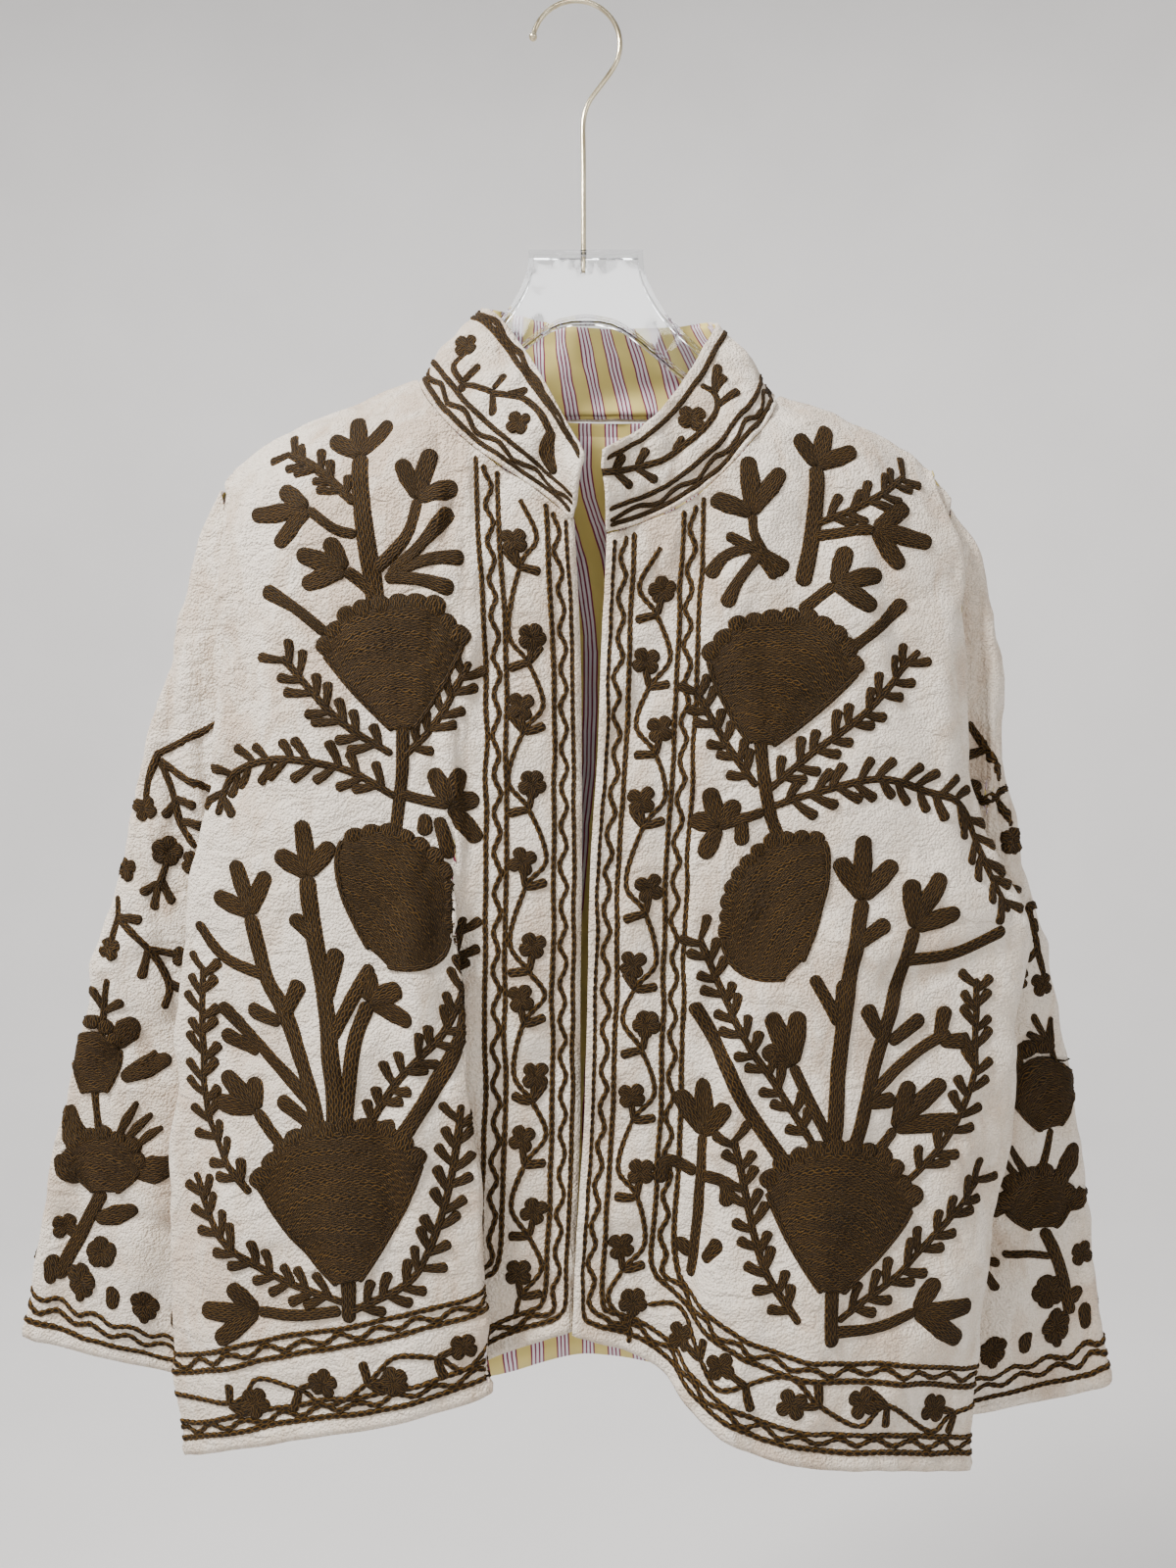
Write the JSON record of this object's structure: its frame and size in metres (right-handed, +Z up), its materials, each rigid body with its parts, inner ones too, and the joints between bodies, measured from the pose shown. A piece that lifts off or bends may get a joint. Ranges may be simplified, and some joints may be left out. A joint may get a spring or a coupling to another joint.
{
  "type": "suzani jacket on a clear hanger",
  "caption": "Open-front velvet jacket with stand collar, drop shoulders and embroidered borders, hung on a clear hanger by its wire hook.",
  "frame": {"origin": "the inner top of the hanger's hook, where it rests on a rail", "axes": "+Z up, the jacket's front faces -Y, +X towards the wearer's left"},
  "size_m": [0.727, 0.1148, 0.9435],
  "materials": {
    "velvet": "cream velvet, short nap with a soft sheen",
    "embroidery": "dark brown wool chain stitch",
    "striped_cotton": "woven cotton, yellow and white bands with fine crimson lines",
    "clear_acrylic": "polished clear plastic",
    "hook_wire": "pale polished wire"
  },
  "bodies": {
    "root": {"front_right": "velvet", "front_left": "velvet", "back": "velvet", "back_lining": "striped_cotton", "sleeve_right": "velvet", "sleeve_left": "velvet", "collar": "velvet", "collar_lining": "striped_cotton", "hanger": "clear_acrylic", "hanger_hook": "hook_wire"}
  },
  "joints": []
}
